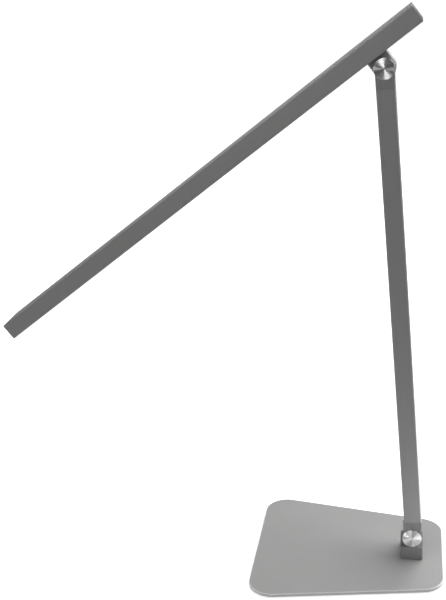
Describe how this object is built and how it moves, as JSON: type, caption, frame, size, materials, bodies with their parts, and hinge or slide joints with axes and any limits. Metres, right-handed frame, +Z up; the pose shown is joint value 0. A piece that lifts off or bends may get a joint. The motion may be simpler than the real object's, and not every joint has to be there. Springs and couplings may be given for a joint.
{
  "type": "swing arm desk lamp",
  "caption": "Slim desk lamp with a flat trapezoid base, a straight arm on a friction hinge and a straight light bar on a second hinge at the arm's top.",
  "frame": {"origin": "on the desk, straight under the axis of the lower hinge", "axes": "+Z up, +Y to the rear along both hinge axes, the light bar's long end towards -X"},
  "size_m": [0.363, 0.1504, 0.4538],
  "materials": {
    "grey_steel": "satin grey metallic coat on steel",
    "grey_anodised": "satin grey anodised",
    "cast_grey": "die-cast, fine dark grey coat",
    "spun_steel": "spun, with circular brushing",
    "screw_steel": "zinc plated",
    "pad_rubber": "matte foam rubber",
    "black_rubber": "moulded",
    "lead_insulation": "smooth",
    "grey_plastic": "fine moulded grain",
    "opal_acrylic": "frosted",
    "board": "white solder mask",
    "chip": "phosphor in a white frame",
    "washer_plastic": "plain",
    "black_plastic": "moulded",
    "button_plastic": "fine moulded grain"
  },
  "bodies": {
    "base": {"base_plate": "grey_steel", "base_pad": "pad_rubber", "hinge_block": "cast_grey", "block_screws": "screw_steel", "cord_bush": "black_rubber"},
    "arm": {"arm_tube": "grey_anodised", "lower_fork": "cast_grey", "upper_fork": "cast_grey", "fork_screws": "screw_steel", "arm_lead": "lead_insulation", "lower_pivot_barrel": "screw_steel", "lower_pivot_screw": "screw_steel", "lower_friction_washers": "washer_plastic", "lower_spring_washer": "screw_steel", "lower_front_cap": "spun_steel", "lower_rear_cap": "spun_steel", "upper_pivot_barrel": "screw_steel", "upper_pivot_screw": "screw_steel", "upper_friction_washers": "washer_plastic", "upper_spring_washer": "screw_steel", "upper_front_cap": "spun_steel", "upper_rear_cap": "spun_steel"},
    "head": {"head_housing": "grey_anodised", "left_end_cap": "grey_plastic", "right_end_cap": "grey_plastic", "diffuser": "opal_acrylic", "led_board": "board", "led_chips": "chip", "head_lug": "cast_grey", "lug_screws": "screw_steel", "rear_cover": "grey_plastic", "driver_board": "board", "tact_switch": "black_plastic"},
    "button": {"power_button": "button_plastic"}
  },
  "joints": [
    {"name": "arm_tilt", "type": "hinge", "parent": "base", "child": "arm", "pos_m": [0, 0, 0.0245], "axis": [0, 1, 0], "range_deg": [-71.5, 34.5]},
    {"name": "head_tilt", "type": "hinge", "parent": "arm", "child": "head", "pos_m": [-0.02883, 0, 0.40993], "axis": [0, 1, 0], "range_deg": [-57.1, 93]},
    {"name": "button_push", "type": "slide", "parent": "head", "child": "button", "axis": [-0.6074, 0, 0.7944], "range_m": [0, 0.0007], "stiffness_N_per_m": 1500, "springref_m": -0.0006}
  ]
}
